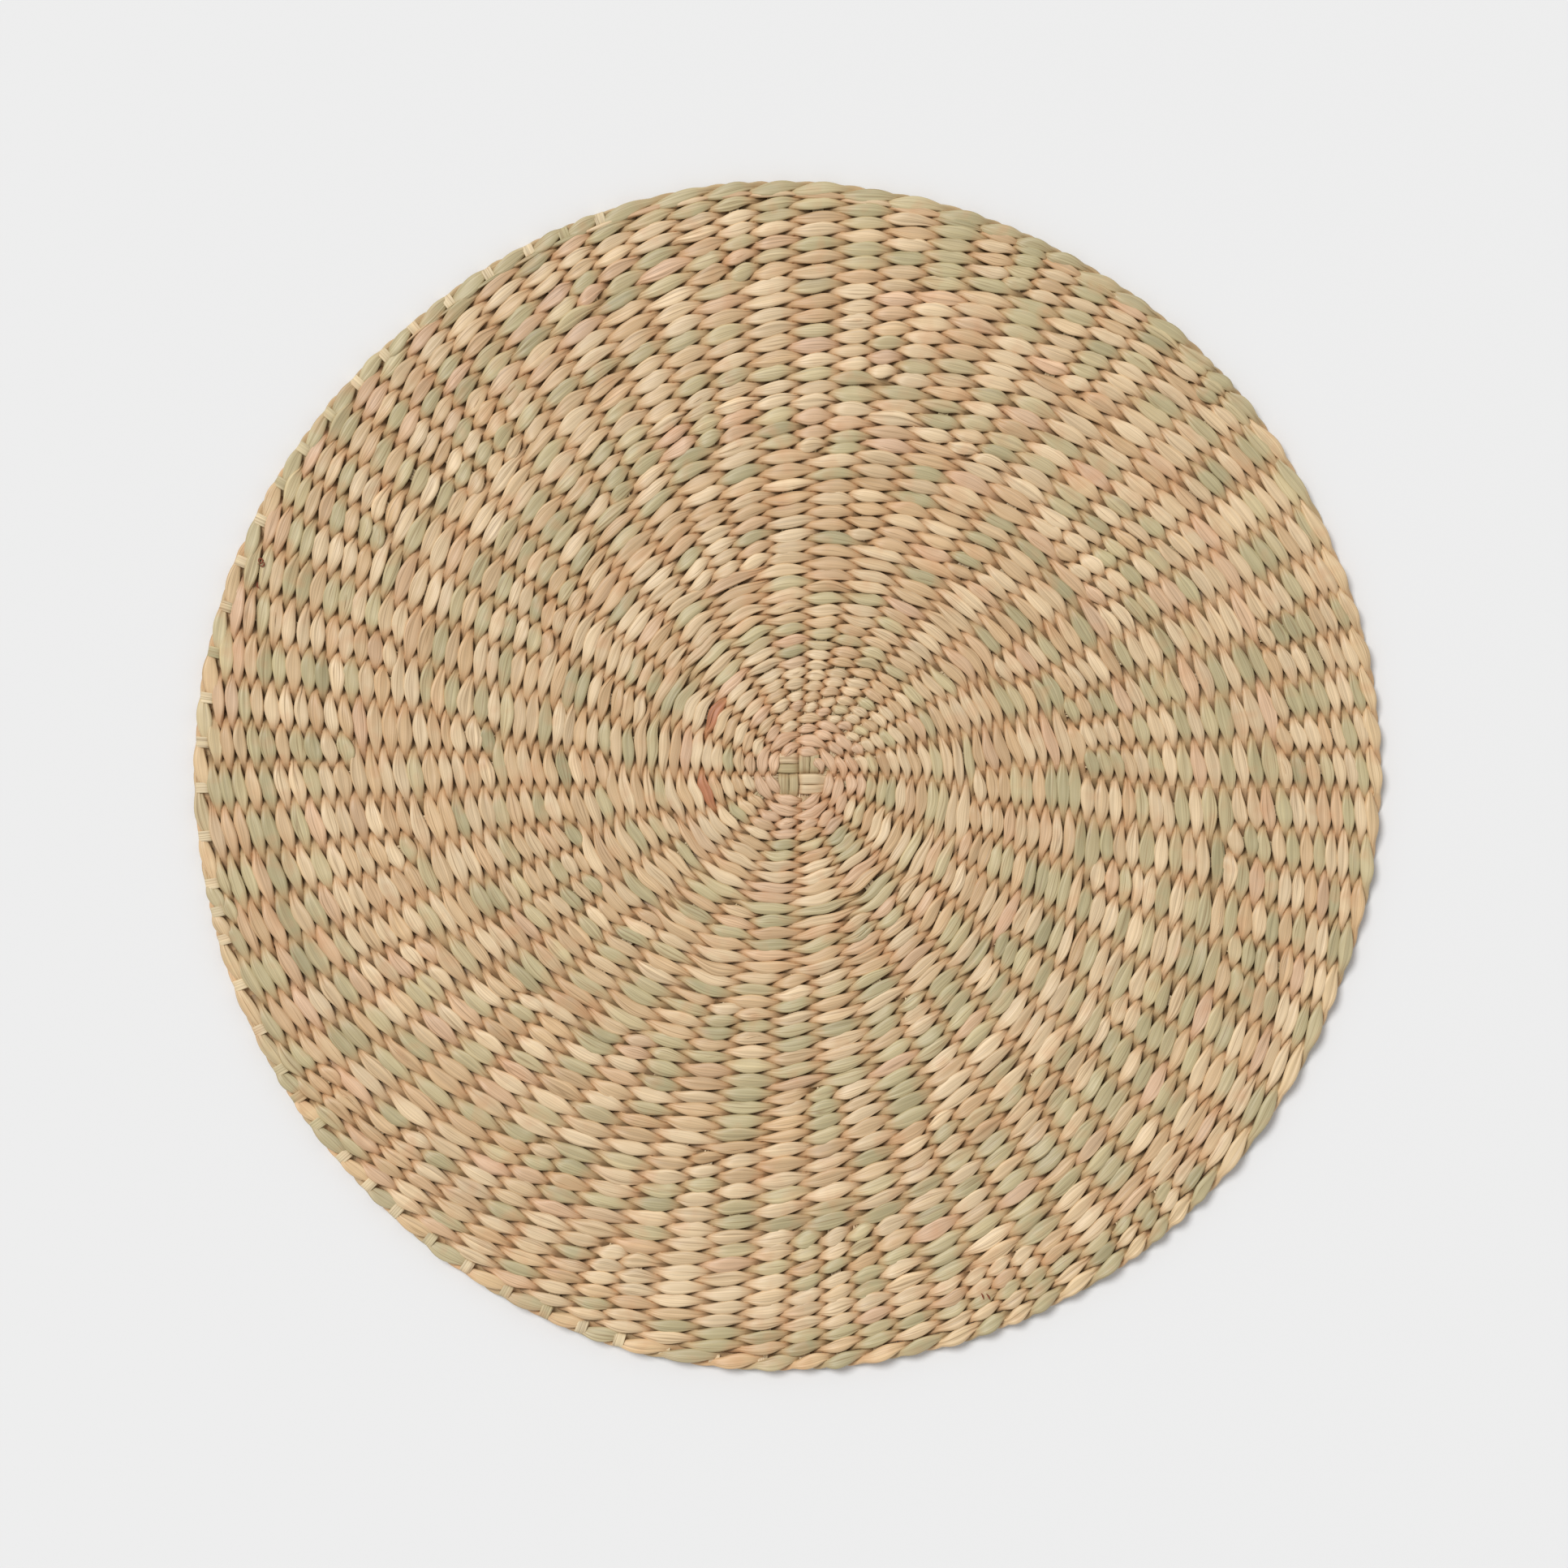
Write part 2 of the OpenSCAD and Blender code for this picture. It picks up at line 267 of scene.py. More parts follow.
def leaf_mesh(name, leaves, material):
    """One mesh of closed tubes. A leaf has rings (n, m, 3), length along and tone of each ring."""
    points, faces, along_across, tones, end_of = [], [], [], [], []
    start = 0
    for leaf in leaves:
        rings = leaf["rings"]
        n, m = rings.shape[:2]
        points.append(rings.reshape(-1, 3))
        tones.append(np.broadcast_to(leaf["tone"], (n, m, 3)).reshape(-1, 3))
        i, j = np.meshgrid(np.arange(n - 1), np.arange(m), indexing="ij")
        next_j = (j + 1) % m
        quads = np.stack([i * m + j, i * m + next_j, (i + 1) * m + next_j, (i + 1) * m + j], -1)
        faces.append(("quads", quads.reshape(-1, 4) + start))
        girth = leaf["girth"]
        u = leaf["along"]
        corners = np.stack([
            np.stack([u[i], j / m * girth], -1), np.stack([u[i], (j + 1) / m * girth], -1),
            np.stack([u[i + 1], (j + 1) / m * girth], -1), np.stack([u[i + 1], j / m * girth], -1)], 2)
        along_across.append(corners.reshape(-1, 2))
        for ring, order in ((0, range(m - 1, -1, -1)), (n - 1, range(m))):
            faces.append(("cap", [start + ring * m + v for v in order]))
            along_across.append(np.array([(u[ring], v / m * girth) for v in order]))
        ends = np.zeros((n, m), int)
        ends[0], ends[-1] = 2 * len(end_of) + 1, 2 * len(end_of) + 2
        end_of.append(ends.ravel())
        start += n * m
    points = off_true(np.concatenate(points))
    loops = np.concatenate([np.ravel(f) for kind, f in faces])
    sizes = np.concatenate([
        np.full(len(f), 4) if kind == "quads" else np.array([len(f)]) for kind, f in faces])
    mesh = bpy.data.meshes.new(name)
    mesh.vertices.add(len(points))
    mesh.vertices.foreach_set("co", points.ravel())
    mesh.loops.add(len(loops))
    mesh.loops.foreach_set("vertex_index", loops.astype(np.int32))
    mesh.polygons.add(len(sizes))
    first_loop = np.concatenate([[0], np.cumsum(sizes)[:-1]])
    mesh.polygons.foreach_set("loop_start", first_loop.astype(np.int32))
    mesh.update(calc_edges=True)
    mesh.polygons.foreach_set("use_smooth", np.ones(len(sizes), bool))
    # The cut ends are sharp, so that a leaf's shading runs on from piece to piece
    pairs = np.empty(2 * len(mesh.edges), np.int32)
    mesh.edges.foreach_get("vertices", pairs)
    ends = np.concatenate(end_of)[pairs].reshape(-1, 2)
    mesh.edges.foreach_set("use_edge_sharp", (ends[:, 0] > 0) & (ends[:, 0] == ends[:, 1]))
    grain = mesh.uv_layers.new(name="grain")
    grain.data.foreach_set("uv", np.concatenate(along_across).ravel())
    # tone holds the leaf's place on its colour scale, its brightness, and how much painted tuck shade
    # it takes
    tone = mesh.attributes.new("tone", "FLOAT_COLOR", "POINT")
    tones = np.concatenate(tones)
    tone.data.foreach_set("color", np.column_stack([tones, np.ones(len(tones))]).ravel())
    mesh.materials.append(material)
    piece = bpy.data.objects.new(name, mesh)
    bpy.context.scene.collection.objects.link(piece)
    return piece


def section(upper, lower, dome=4.5):
    """Outline of a flattened leaf: points on the upper face, one edge, the lower face, one edge."""
    top = 0.96 * np.sin(np.linspace(1.35, -1.35, upper)) / math.sin(1.35)
    base = 0.96 * np.sin(np.linspace(-1.35, 1.35, lower)) / math.sin(1.35)
    height = (1 - np.abs(np.concatenate([top, base])) ** dome) ** 0.5
    x = np.concatenate([top, [-1.0], base, [1.0]])
    y = np.concatenate([height[:upper], [0.0], -height[upper:], [0.0]])
    return np.stack([x, y], -1)


def sweep_leaf(path, across, half_w, half_t, outline, tone, up=None, offset=0.0):
    """A leaf along a path of points (n, 3), with its half width and half thickness at each."""
    n = len(path)
    up = np.tile([0.0, 0.0, 1.0], (n, 1)) if up is None else up
    outline = np.broadcast_to(outline, (n, *np.shape(outline)[-2:]))
    rings = (path[:, None] + across[:, None] * (outline[..., 0] * half_w[:, None])[..., None]
             + up[:, None] * (outline[..., 1] * half_t[:, None])[..., None])
    steps = np.linalg.norm(np.diff(path, axis=0), axis=1)
    along = offset + np.concatenate([[0], np.cumsum(steps)])
    tone = tone if np.ndim(tone) == 3 else tone[:, None]
    return {"rings": rings, "along": along, "tone": tone, "girth": 3 * half_w.max()}


# Split seagrass, dried and twisted in by hand: a matt leaf with a faint waxy sheen. Long fibres
# show as fine streaks. Painted shade: dark lines where one fold of leaf lies on the next, and a
# warm then brown painted shade towards the places where it goes under.
STREAK_MM = 0.42       # width of a bundle of fibres; drawn coarser than the real 0.15 mm
STREAK_LONG_MM = 40
FOLD_MM = 1.6          # distance between the edges of folds in a leaf
FOLD_LONG_MM = 150
BLOTCH_MM = 9


def seagrass(name, tones, brown, roughness):
    """Dried leaf. tones are the colours from one end of the leaf scale to the other."""
    material, tree = new_material(name)
    leaf = add(tree, "Attribute", attribute_name="tone")
    parts = add(tree, "SeparateColor", {"Color": leaf.outputs["Color"]})
    grain = add(tree, "UVMap", uv_map="grain")

    def along_leaf(long_mm, wide_mm, detail):
        stretched = add(tree, "Mapping", {
            "Vector": grain.outputs["UV"], "Scale": (1 / (long_mm * MM), 1 / (wide_mm * MM), 1)})
        return add(tree, "TexNoise", {
            "Vector": stretched.outputs["Vector"], "Scale": 1.0, "Detail": detail, "Roughness": 0.6})

    def ranged(value, low, high, to_low, to_high):
        return add(tree, "MapRange", {
            "Value": value, "From Min": low, "From Max": high, "To Min": to_low,
            "To Max": to_high}).outputs["Result"]

    streaks = along_leaf(STREAK_LONG_MM, STREAK_MM, 2.0)
    folds = along_leaf(FOLD_LONG_MM, FOLD_MM, 1.0)
    place = add(tree, "TexCoord")
    blotches = add(tree, "TexNoise", {
        "Vector": place.outputs["Object"], "Scale": 1 / (BLOTCH_MM * MM), "Detail": 2.0})
    scale = add(tree, "ValToRGB", {"Fac": parts.outputs["Red"]})
    ramp = scale.color_ramp
    while len(ramp.elements) < len(tones):
        ramp.elements.new(0.5)
    for i, (at, colour) in enumerate(tones):
        ramp.elements[i].position = at
        ramp.elements[i].color = linear(colour)
    # Fibres: lighter and darker streaks along the leaf
    fibre = ranged(streaks.outputs["Fac"], 0.3, 0.7, 0.83, 1.13)
    # The green channel is each stitch's own brightness, with painted shade in the grooves of its
    # creases
    shade = add(tree, "Math", {0: fibre, 1: parts.outputs["Green"]}, operation="MULTIPLY")
    streaked = add(tree, "VectorMath", {
        0: scale.outputs["Color"], "Scale": shade.outputs["Value"]}, operation="SCALE")
    # Reddish drying marks here and there
    marked = add(tree, "Mix", {
        "Factor": ranged(blotches.outputs["Fac"], 0.54, 0.76, 0.0, 0.42),
        "A": streaked.outputs["Vector"], "B": linear("#cc9468")}, data_type="RGBA")
    # Painted shade at the edge of a fold: a thin dark line where the slow noise passes its middle
    off_middle = add(tree, "Math", {0: folds.outputs["Fac"], 1: 0.5}, operation="SUBTRACT")
    near_line = add(tree, "Math", {0: off_middle.outputs["Value"]}, operation="ABSOLUTE")
    fold_shaded = add(tree, "Mix", {
        "Factor": ranged(near_line.outputs["Value"], 0.0, 0.018, 0.5, 0.0),
        "A": marked.outputs["Result"], "B": linear(brown)}, data_type="RGBA")
    # Painted shade: towards its tips a stitch is painted warmer, then brown where it goes under the
    # next
    warm_shaded = add(tree, "Mix", {
        "Factor": ranged(parts.outputs["Blue"], 0.0, 0.4, 0.0, 0.4),
        "A": fold_shaded.outputs["Result"], "B": linear("#cc9c6e")}, data_type="RGBA")
    tucked = add(tree, "Mix", {
        "Factor": ranged(parts.outputs["Blue"], 0.4, 1.0, 0.0, 0.7),
        "A": warm_shaded.outputs["Result"], "B": linear(brown)}, data_type="RGBA")
    relief = add(tree, "Bump", {
        "Height": streaks.outputs["Fac"], "Strength": 0.25, "Distance": 0.25 * MM})
    surface = add(tree, "BsdfPrincipled", {
        "Base Color": tucked.outputs["Result"], "Roughness": roughness, "IOR": 1.45,
        "Specular IOR Level": 0.5, "Normal": relief.outputs["Normal"]})
    add(tree, "OutputMaterial", {"Surface": surface.outputs["BSDF"]})
    return material


# Spoke leaf: pale straw to a faint grey green, drier and duller to the eye than the weft leaf.
spoke_leaf = seagrass(
    "split_seagrass_spoke_leaf",
    [(0.0, "#dec8a0"), (0.5, "#e2cda8"), (1.0, "#b8aa80")], "#7a5a34", 0.6)

SPOKE_MID_Z = MAT_T / 2
FIBRES = 4
FIBRE_LAP = 0.14 * MM
SPOKE_W = 3.3 * MM
fibre_outline = section(6, 2, 6.0)
# The edge of the mat: two leaves twined round a core leaf. On the left, where the cosine of a
# spoke's angle is below TABS_LEFT_OF, its end is folded over all three and shows as a flat tab;
# elsewhere it is folded over the core only.
RIM_R = MAT_D / 2
RIM_W = 4.4 * MM
CORE_HALF_W = 1.0 * MM
CORE_HALF_T = 0.6 * MM
TAB_HALF_H = 2.3 * MM
TABS_LEFT_OF = -0.25
FOLD_T = 0.4 * MM
FOLD_DEGREES = 325     # how far round the edge a spoke's end is folded
FOLD_BOXINESS = 0.6    # 1 is an oval fold and 0 a square one
rim_mid_r = RIM_R - RIM_W / 2


def frame_of(points):
    """Unit vectors across a plan path."""
    heading = np.gradient(points, axis=0)
    heading /= np.linalg.norm(heading, axis=1)[:, None]
    return np.stack([-heading[:, 1], heading[:, 0], np.zeros(len(points))], -1)


ON_ARM = 6  # points of a spoke, two a round, that lie on its arm of the cross


def spoke_leaves(n, first=None):
    """Leaves of one spoke, from its start to where it is folded round the rim and tucked in."""
    turns = np.array(crossings[n])
    # A cut end lies between the round that first crosses it and the one before
    at_rounds = on_spiral(np.concatenate([[turns[0] - 1], turns]))
    at_rounds[0] = (at_rounds[0] + at_rounds[1]) / 2
    points = np.empty((2 * len(turns) + 1, 2))
    points[::2] = at_rounds
    points[1::2] = (at_rounds[:-1] + at_rounds[1:]) / 2
    swell = np.arange(len(points)) % 2
    if first is not None:
        points = np.concatenate([first, points[ON_ARM:]])
        swell = np.concatenate([np.zeros(len(first)), swell[ON_ARM:]])
    rim_angle = math.atan2(points[-1, 1], points[-1, 0])
    out = np.array([math.cos(rim_angle), math.sin(rim_angle)])
    side = np.array([-out[1], out[0]])
    # Fold: up and over, down outside, and back in underneath
    around = math.pi - np.linspace(0, 1, 17) * math.radians(FOLD_DEGREES)
    fold_half_w, fold_half_h = CORE_HALF_W + FOLD_T, CORE_HALF_T + FOLD_T
    if out[0] < TABS_LEFT_OF:
        fold_half_w, fold_half_h = RIM_W / 2, TAB_HALF_H
    boxed = np.stack([np.cos(around), np.sin(around)])
    boxed = np.sign(boxed) * np.abs(boxed) ** FOLD_BOXINESS
    fold_r = rim_mid_r + fold_half_w * boxed[0]
    fold_z = SPOKE_MID_Z + fold_half_h * boxed[1]
    neck_r = rim_mid_r - fold_half_w - 1.2 * FOLD_T
    neck = np.linalg.norm(points[-1]) < neck_r
    leaf_tone, leaf_shade = rng.uniform(0, 0.9), rng.uniform(0.9, 1.03)
    leaves = []
    for f in range(FIBRES):
        shift = (f - (FIBRES - 1) / 2) * SPOKE_W / FIBRES
        wander = rng.normal(0, 0.10 * MM, len(points))
        # Pressed flat between the strands, and standing up between one round and the next
        raised = (0.2 + 0.4 * swell + rng.uniform(-0.08, 0.08)) * MM
        flat = np.column_stack([points, SPOKE_MID_Z + raised])
        flat = flat + frame_of(points) * (shift + wander)[:, None]
        fold = np.column_stack([fold_r[:, None] * out + side * shift, fold_z])
        entry = np.array([[*(neck_r * out + side * shift), SPOKE_MID_Z]])[:int(neck)]
        path = np.concatenate([flat, entry, fold])
        n_flat = len(flat) + len(entry)
        across = np.concatenate([frame_of(points), np.tile([*side, 0.0], (len(path) - len(flat), 1))])
        half_w = np.full(len(path), (SPOKE_W / FIBRES + FIBRE_LAP) / 2)
        half_t = np.concatenate([
            (0.32 + 0.1 * swell) * MM, np.full(len(entry), 0.3 * MM),
            np.full(len(fold), FOLD_T / 2)])
        up = np.tile([0.0, 0.0, 1.0], (len(path), 1))
        up[n_flat:] = np.column_stack([np.cos(around)[:, None] * out, np.sin(around)])
        half_t[0] *= 0.4
        half_w[0] *= 0.5
        # Third channel: a little painted tuck shade on the flat length that lies in the weave, none on
        # the fold
        tone = np.column_stack([
            np.full(len(path), leaf_tone + rng.uniform(0, 0.1)),
            np.full(len(path), leaf_shade * rng.uniform(0.95, 1.05)),
            np.concatenate([np.full(n_flat, 0.12), np.full(len(fold), 0.0)])])
        leaves.append(sweep_leaf(
            path, across, half_w, half_t, fibre_outline, tone, up, rng.uniform(0, 1)))
    return leaves


# The check in the middle: each bundle is two wide leaves side by side, over one bundle and
# under the next, and it bulges where it lies on top.
CELL = 6.7 * MM
BULGE = 1.45 * MM
WIDE_HALF_T = 0.75 * MM
WIDE_LEAVES = ((0, -0.27, 0.46), (1, 0.23, 0.54))  # number, middle and width, in cells
PALE, GREY_GREEN = 0.3, (0.85, 1.0)  # on the spoke leaf's scale of colours
centre_x = float(spiral(0.5)[0])
wide_outline = section(11, 5, 3.4)


def bundle(turned, side, high_side):
    """Wide leaves of one bundle across the middle, and the four spokes that it becomes."""
    c, s = math.cos(math.radians(turned)), math.sin(math.radians(turned))

    def place(along, across):
        return np.stack([centre_x + along * c - across * s, MIDDLE_Y + along * s + across * c], -1)

    leaves = []
    along = np.linspace(-1.9 * CELL, 1.9 * CELL, 41)
    high = np.exp(-((along - high_side * CELL / 2) / (0.55 * CELL)) ** 4)
    low = np.exp(-((along + high_side * CELL / 2) / (0.55 * CELL)) ** 4)
    z = SPOKE_MID_Z + BULGE * (high - low)
    for part, centre, width in WIDE_LEAVES:
        across_mid = side * CELL / 2 + centre * CELL * (1 - 0.25 * (1 - high) * (1 - low))
        points = place(along, across_mid)
        path = np.column_stack([points, z])
        across = frame_of(points)
        half_w = np.full(len(along), width * CELL / 2 * 0.97) * (0.94 + 0.06 * (high + low))
        half_t = np.full(len(along), WIDE_HALF_T)
        tone_of = GREY_GREEN[1] if side > 0 and not part else PALE
        if turned == 90:
            tone_of = rng.uniform(*GREY_GREEN)
        # Third channel: painted shade where the bundle goes under the other one
        tone = np.column_stack([
            np.full(len(along), tone_of), np.full(len(along), 0.91), 0.15 + 0.5 * low])
        leaves.append(sweep_leaf(path, across, half_w, half_t, wide_outline, tone,
                                 offset=rng.uniform(0, 1)))
    quarter = CROSS_SPOKES // 4
    arm = turned // 90 * quarter
    for end in (1, -1):
        for half in (-1, 1):
            step = 1 if side * half > 0 else 0
            on_arm = step if side > 0 else -1 - step
            number = arm + on_arm if end > 0 else arm + 2 * quarter - 1 - on_arm
            # A spoke starts beneath the ends of the wide leaves
            first = place(end * np.array([0.9, 1.3, 1.7]) * CELL, (side / 2 + half / 4) * CELL)
            leaves += spoke_leaves(number % CROSS_SPOKES, first)
    return leaves


for name, turned, side, high_side in (
        ("north", 0, 1, -1), ("south", 0, -1, 1), ("east", 90, -1, 1), ("west", 90, 1, -1)):
    node = f"cross_bundle_{name}"
    piece = leaf_mesh(f"{node}_leaves", bundle(turned, side, high_side), spoke_leaf)
    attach(piece, "root")
    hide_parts(node)


# ---- Added spokes ---------------------------------------------------------------------------
# Cut leaves pushed in beside the others as the mat widens. They have no fixing of their own:
# the weft grips them, and their outer ends are folded round the rim like the rest.
last_radius = float(spiral(ROUNDS)[1])
ZONE_ENDS = (0.35, 0.62, 1.01)
zones = {"inner": [], "middle": [], "outer": []}
for n in range(CROSS_SPOKES, SPOKES):
    start = float(spiral(crossings[n][0])[1]) / last_radius
    zone = ("inner", "middle", "outer")[sum(start >= end for end in ZONE_ENDS[:2])]
    zones[zone] += spoke_leaves(n)
for zone, leaves in zones.items():
    piece = leaf_mesh(f"spokes_{zone}_leaves", leaves, spoke_leaf)
    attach(piece, "root")
    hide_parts(f"spokes_added_{zone}")


# ---- Weft: the twined rounds ---------------------------------------------------------------
# Two strands of leaf are twined round the spokes in one long spiral. At each spoke one strand
# lies over it and the other under it, and between two spokes they change places with half a
# twist. Each strand is many leaves, spliced in one after another where the last one ends.

# Weft leaf: pale cream to tan, some of it still a grey green, with a faint sheen on its folds.
weft_leaf = seagrass(
    "split_seagrass_weft_leaf",
    [(0.0, "#e2c8a2"), (0.28, "#d8bb93"), (0.5, "#ceac82"), (0.60, "#dab594"), (0.68, "#cdb98f"),
     (0.84, "#beaf86"), (0.94, "#afa37c"), (1.0, "#b97a55")], "#7a5830", 0.45)

RINGS = 10             # rings of points from one spoke to the next
UPPER, LOWER = 13, 5   # points on the upper and lower face of a leaf
weft_outline = section(UPPER, LOWER)
WEFT_POINTS = len(weft_outline)
CREST_T = 0.80 * MM    # half the thickness of a leaf where it lies over a spoke
NECK_W, CREST_W = 0.24, 0.525  # half its width between two spokes and over one, in row pitches
SWING = 0.255          # how far it moves out and in again between two spokes, in row pitches
UNDER_Z = 0.02 * MM    # the underside is pressed flat against what the mat lies on
STITCHES = len(all_turns)
stations = np.arange(-1, STITCHES + 1)
turn_at = np.concatenate([
    [2 * all_turns[0] - all_turns[1]], all_turns, [2 * all_turns[-1] - all_turns[-2]]])


def along_stitches(values, s):
    """Values given for whole stitches, blended between them."""
    whole = np.clip(np.floor(s).astype(int), -1, len(values) - 3)
    t = s - whole
    t = t * t * (3 - 2 * t)
    if values.ndim > 1:
        t = t[:, None]
    return values[whole + 1] * (1 - t) + values[whole + 2] * t


def pick_leaves(stitches, lightest=0.0):
    """What each stitch of a strand is like: leaves of uneven length, one after another."""
    n = stitches + 3
    tone, shade, crease = np.zeros(n), np.ones(n), np.zeros((n, WEFT_POINTS))
    at = 0
    while at < n:
        length = int(rng.integers(4, 19))
        # More than half are tan, a few are very pale and the rest are a grey green
        kind = rng.uniform()
        if kind < 0.58:
            leaf = rng.uniform(lightest, 0.60)
        elif kind < 0.64:
            leaf = rng.uniform(lightest, 0.12)
        else:
            leaf = rng.uniform(0.70, 0.92)
        tone[at:at + length] = leaf
        shade[at:at + length] = rng.normal(0.98, 0.03)
        # Up to three folds run the length of the leaf, each a step down or up to the next
        for fold in rng.integers(2, UPPER - 2, 3):
            crease[at:at + length, fold:UPPER] += rng.uniform(-0.24, 0.24)
            crease[at:at + length, fold] -= rng.uniform(0.0, 0.2)
        at += length
    tone = np.clip(tone + rng.normal(0, 0.03, n), 0, 0.94)
    shade *= rng.normal(1.0, 0.045, n)
    crease[:, :UPPER] -= crease[:, :UPPER].mean(axis=1, keepdims=True)
    crease += rng.normal(0, 0.035, crease.shape)
    return {
        "tone": tone, "shade": np.clip(shade, 0.82, 1.12), "crease": crease,
        "width": np.clip(rng.normal(1.07, 0.06, n), 0.92, 1.16),
        "lift": rng.normal(0, 0.12 * MM, n), "shift": rng.normal(0, 0.15 * MM, n),
        "roll": rng.normal(0, 0.14, n), "slip": rng.normal(0, 0.045, n)}


def row_pitch(turn):
    """Distance from one row of weft to the next, at a place on the spiral."""
    row = np.maximum(turn, turn % 1 + 1)
    row = np.where(turn > ROUNDS - 1, turn % 1 + ROUNDS - 2, row)
    return np.linalg.norm(on_spiral(row + 1) - on_spiral(row - 1), axis=-1) / 2


def twined_leaf(made, strand, s, place, width):
    """A leaf twined over and under, from spoke to spoke; place gives points moved outwards."""
    phase = math.pi * (s - strand + along_stitches(made["slip"], s))
    over, aside = np.cos(phase), 0.13 * np.sin(2 * phase) - np.sin(phase)
    crest = np.abs(over)
    half_w = width * (NECK_W + (CREST_W - NECK_W) * crest ** 1.15)
    half_w = half_w * along_stitches(made["width"], s)
    half_t = CREST_T * (0.52 * width / half_w) ** 0.8
    climb = MAT_T / 2 - CREST_T - 0.05 * MM
    z = MAT_T / 2 + climb * (1.3 * over - 0.3 * over ** 3) + 0.4 * MM * (1 - crest)
    z = z - np.sign(over) * np.abs(along_stitches(made["lift"], s)) * crest
    middle, angle = place(SWING * width * aside + along_stitches(made["shift"], s))
    path = np.column_stack([middle, z])
    # The flat face leans a little, and creases run along it
    lean = along_stitches(made["roll"], s) + 0.25 * aside
    out = np.column_stack([np.cos(angle), np.sin(angle), np.zeros(len(s))])
    across = out * np.cos(lean)[:, None]
    across[:, 2] = np.sin(lean)
    up = -out * np.sin(lean)[:, None]
    up[:, 2] = np.cos(lean)
    crease = along_stitches(made["crease"], s)
    outline = np.repeat(weft_outline[None], len(s), axis=0)
    outline[..., 1] *= 1 + crease
    # One leaf follows the next where the strand is hidden under a spoke
    whole = 2 * np.round((s - strand) / 2).astype(int) + strand + 1
    # Painted shade: a face is painted browner where it is hidden, the upper face under a spoke, the
    # lower face over it
    shown = np.repeat(over[:, None], WEFT_POINTS, axis=1)
    shown[:, UPPER + 1:-1] *= -1
    painted_tuck_shade = np.clip((0.72 - shown) / 1.6, 0, 1)
    # Second channel: the stitch's own brightness, painted darker in the grooves of its creases and a
    # little lighter on their ridges (painted shade and painted light)
    tone = np.stack(np.broadcast_arrays(
        made["tone"][whole][:, None],
        along_stitches(made["shade"], s)[:, None] * (1 + 0.35 * np.clip(crease, -0.5, 0.2)),
        painted_tuck_shade), -1)
    # The two strands' grain starts far apart, and it is as wide on one piece as on the next
    leaf = sweep_leaf(path, across, half_w, half_t, outline, tone, up, strand * 7.0)
    leaf["girth"] = 10 * MM
    leaf["rings"][..., 2] = np.clip(leaf["rings"][..., 2], UNDER_Z, MAT_T + 0.3 * MM)
    return leaf


# The weft starts with tan leaf only, and two stitches left of that are a rusty red brown
TAN_STITCHES = 60
TAN_UP_TO = 0.58       # on the weft leaf's scale of colours
RUSTY_AT = ((-0.063, 0.049), (-0.074, -0.004))  # in mat diameters
weft = [pick_leaves(STITCHES), pick_leaves(STITCHES)]
for made in weft:
    made["tone"][:TAN_STITCHES] = np.minimum(made["tone"][:TAN_STITCHES], TAN_UP_TO)
plan = on_spiral(all_turns) / MAT_D
for rusty in RUSTY_AT:
    stitch = int(np.argmin(np.hypot(*(plan - rusty).T)))
    weft[stitch % 2]["tone"][stitch + 1] = 1.0
sliver_outline = section(3, 2, 3.0)
SLIVERS = 0.02         # share of the stitches with a loose sliver or a cut end lying on them


def sliver(strand, stitch):
    """The thin end of a leaf, lying on the stitch over one spoke and lifting at its tip."""
    s = stitch + np.linspace(-0.42, rng.uniform(0.1, 0.4), 9)
    t = np.linspace(0, 1, len(s))
    turn = np.interp(s, stations, turn_at)
    width = row_pitch(turn)
    aside = -SWING * width * np.sin(math.pi * (s - stitch))
    outward = aside + rng.uniform(-0.25, 0.25) * width * (0.4 + 0.6 * t)
    over = np.cos(math.pi * (s - stitch))
    z = MAT_T / 2 + (MAT_T / 2 - CREST_T) * over ** 0.8 + CREST_T * (1.0 - 0.2 * t)
    z = np.minimum(z, MAT_T) + (0.05 + rng.uniform(0.1, 0.7) * t ** 2) * MM
    angle = spiral(turn)[2]
    out = np.column_stack([np.cos(angle), np.sin(angle), 0.3 * np.ones(len(s))])
    wide = rng.uniform(0.25, 0.5) * MM * (1.04 - t)
    # Third channel: a touch of painted warm shade, as on the weft
    tone = np.tile([weft[strand]["tone"][stitch + 1], rng.uniform(0.94, 1.08), 0.1], (len(s), 1))
    return sweep_leaf(
        np.column_stack([on_spiral(turn, outward), z]), out, wide, np.full(len(s), 0.07 * MM),
        sliver_outline, tone)


def weft_strand(strand, s):
    """One strand's leaf between two places on the row of stitches."""
    turn = np.interp(s, stations, turn_at)
    width = row_pitch(turn) * np.where(turn > ROUNDS, wedge_share(turn - ROUNDS), 1)
    # The first end is narrow and lies hidden beside the cross
    width = width * np.clip(0.3 + 1.4 * (s + 0.5), 0.3, 1)

    def place(outward):
        return on_spiral(turn, outward), spiral(turn)[2]

    return twined_leaf(weft[strand], strand, s, place, width)


splits = [math.floor(np.interp(k, turn_at, stations)) + 0.5 for k in range(1, ROUNDS)]
splits = [-0.5, *splits, STITCHES - 0.5]
for k, node in enumerate(round_names):
    rings = int(round((splits[k + 1] - splits[k]) * RINGS)) + 1
    s = np.linspace(splits[k], splits[k + 1], rings)
    leaves = [weft_strand(0, s), weft_strand(1, s)]
    for stitch in range(math.ceil(splits[k]), math.floor(splits[k + 1]) + 1):
        if rng.uniform() < SLIVERS:
            leaves.append(sliver(stitch % 2, stitch))
    piece = leaf_mesh(f"{node}_leaves", leaves, weft_leaf)
    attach(piece, "root")
    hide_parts(node)


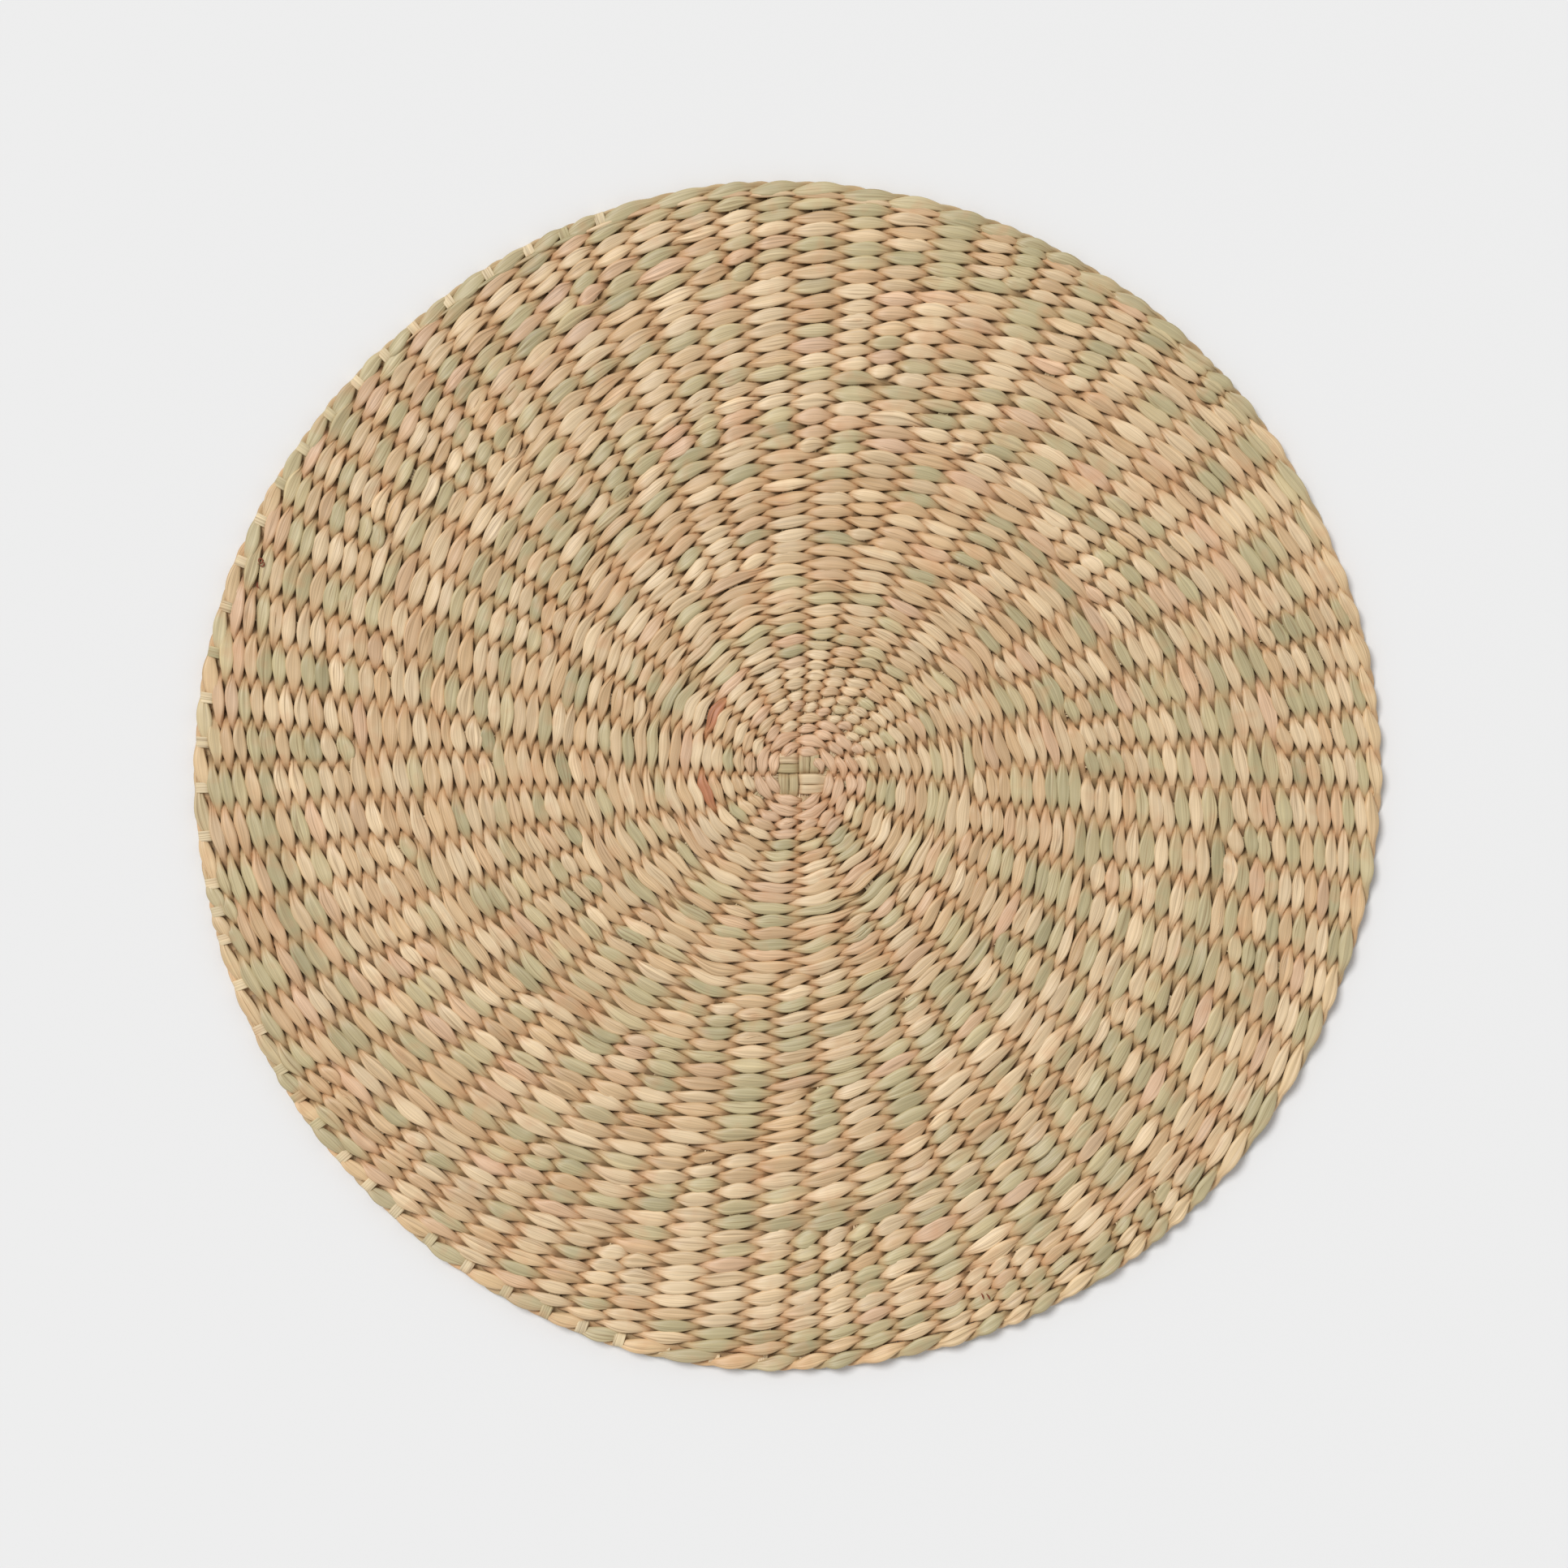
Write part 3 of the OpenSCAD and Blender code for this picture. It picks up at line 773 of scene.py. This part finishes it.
# ---- Rim -------------------------------------------------------------------------------------
# The edge is a cord of three leaves laid round the last round, two twined round a core leaf.
# The spoke ends hold it: they are folded over the places where the two change sides on the
# left, and round the core, hidden by the two, on the right.

# Rim leaf: long strips of the same leaf, cream to tan with some green, with a faint sheen.
rim_leaf = seagrass(
    "split_seagrass_rim_leaf",
    [(0.0, "#e2c79d"), (0.5, "#d6b488"), (0.62, "#cbba92"), (1.0, "#b0a47d")], "#7a5830", 0.45)

# Painted tuck shade on the rim leaves is weaker than on the weft
RIM_TUCK_SHADE = 0.4     # less of it is hidden than of the weft
rim_angles = np.sort([
    math.atan2(*on_spiral(crossings[n][-1])[::-1]) % (2 * math.pi) for n in range(SPOKES)])
rim_stations = np.arange(-1, SPOKES + 2)
rim_turn = np.concatenate([
    [rim_angles[-1] - 2 * math.pi], rim_angles, rim_angles[:2] + 2 * math.pi])
s = np.linspace(-0.5, SPOKES - 0.5, SPOKES * RINGS + 1)
# On the left the leaves change sides at the spokes, elsewhere half-way between them
left_share = np.clip(np.cos(2 * math.pi * s / SPOKES) / TABS_LEFT_OF, 0, 1)
angle = np.interp(s + 0.5 * left_share, rim_stations, rim_turn)


def rim_place(outward):
    r = rim_mid_r + outward
    return np.stack([r * np.cos(angle), r * np.sin(angle)], -1), angle


for strand, node in ((0, "rim_leaf_lower"), (1, "rim_leaf_upper")):
    made = pick_leaves(SPOKES, lightest=0.1)
    # The end of the leaf runs on into its start
    for values in made.values():
        values[SPOKES:SPOKES + 2] = values[:2]
    leaf = twined_leaf(made, strand, s, rim_place, np.full(len(s), RIM_W))
    leaf["tone"][..., 2] *= RIM_TUCK_SHADE
    piece = leaf_mesh(f"{node}_twined", [leaf], rim_leaf)
    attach(piece, "root")
    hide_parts(node)

middle, angle = rim_place(0.0)
out = np.column_stack([np.cos(angle), np.sin(angle), np.zeros(len(s))])
squeezed = 0.25 + 0.75 * np.abs(np.cos(math.pi * s))
# The core lies hidden by the two and takes a little painted tuck shade
core = sweep_leaf(
    np.column_stack([middle, np.full(len(s), MAT_T / 2)]), out, CORE_HALF_W * squeezed,
    CORE_HALF_T * np.ones(len(s)), section(5, 3), np.tile([0.4, 1.0, 0.1], (len(s), 1)))
piece = leaf_mesh("rim_leaf_middle_core", [core], rim_leaf)
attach(piece, "root")
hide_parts("rim_leaf_middle")


# ---- Husk caught in the weave -----------------------------------------------------------------
# A few dark red scraps of dried sheath, curled and brittle, lie caught between the stitches
# near the edge. They are not fixed; they only came in with the leaves.

# Dried sheath: dark red brown and dull to the eye, with a rough broken surface.
husk, tree = new_material("dried_seagrass_husk")
grit = add(tree, "TexNoise", {"Scale": 1 / (0.6 * MM), "Detail": 2.0})
reds = add(tree, "ValToRGB", {"Fac": grit.outputs["Fac"]})
reds.color_ramp.elements[0].color = linear("#5a240f")
reds.color_ramp.elements[1].color = linear("#a04c28")
rough = add(tree, "Bump", {"Height": grit.outputs["Fac"], "Strength": 0.5, "Distance": 0.2 * MM})
surface = add(tree, "BsdfPrincipled", {
    "Base Color": reds.outputs["Color"], "Roughness": 0.6, "Normal": rough.outputs["Normal"]})
add(tree, "OutputMaterial", {"Surface": surface.outputs["BSDF"]})

SCRAP_HALF_W = 0.19 * MM
SCRAP_HALF_T = 0.12 * MM
# Each scrap's start in mat diameters, the way it faces, its length in mm and how far it curls
SCRAPS = (
    (-0.4475, 0.1790, -10, 6.0, 400), (-0.4415, 0.1810, -70, 2.6, -160),
    (-0.4460, 0.1640, 250, 2.6, 90), (0.1655, -0.4420, 100, 2.4, 30),
    (0.1710, -0.4425, 110, 2.6, 25))
scraps = []
for x, y, facing, long, curl in SCRAPS:
    t = np.linspace(0, 1, 17)
    turn = math.radians(facing) + math.radians(curl) * t ** 1.6
    steps = np.column_stack([np.cos(turn), np.sin(turn)]) * long * MM / len(t)
    plan = np.array([x, y]) * MAT_D + np.cumsum(steps, axis=0)
    path = np.column_stack([plan, MAT_T + (0.15 + 0.3 * t) * MM])
    half_w = SCRAP_HALF_W * (0.35 + np.sin(math.pi * np.clip(t, 0.05, 0.95)))
    scraps.append(sweep_leaf(
        path, frame_of(plan), half_w, np.full(len(t), SCRAP_HALF_T), section(5, 3, 2.5),
        np.tile([0.5, 1.0, 0.0], (len(t), 1))))
piece = leaf_mesh("husk_scraps", scraps, husk)
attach(piece, "root")
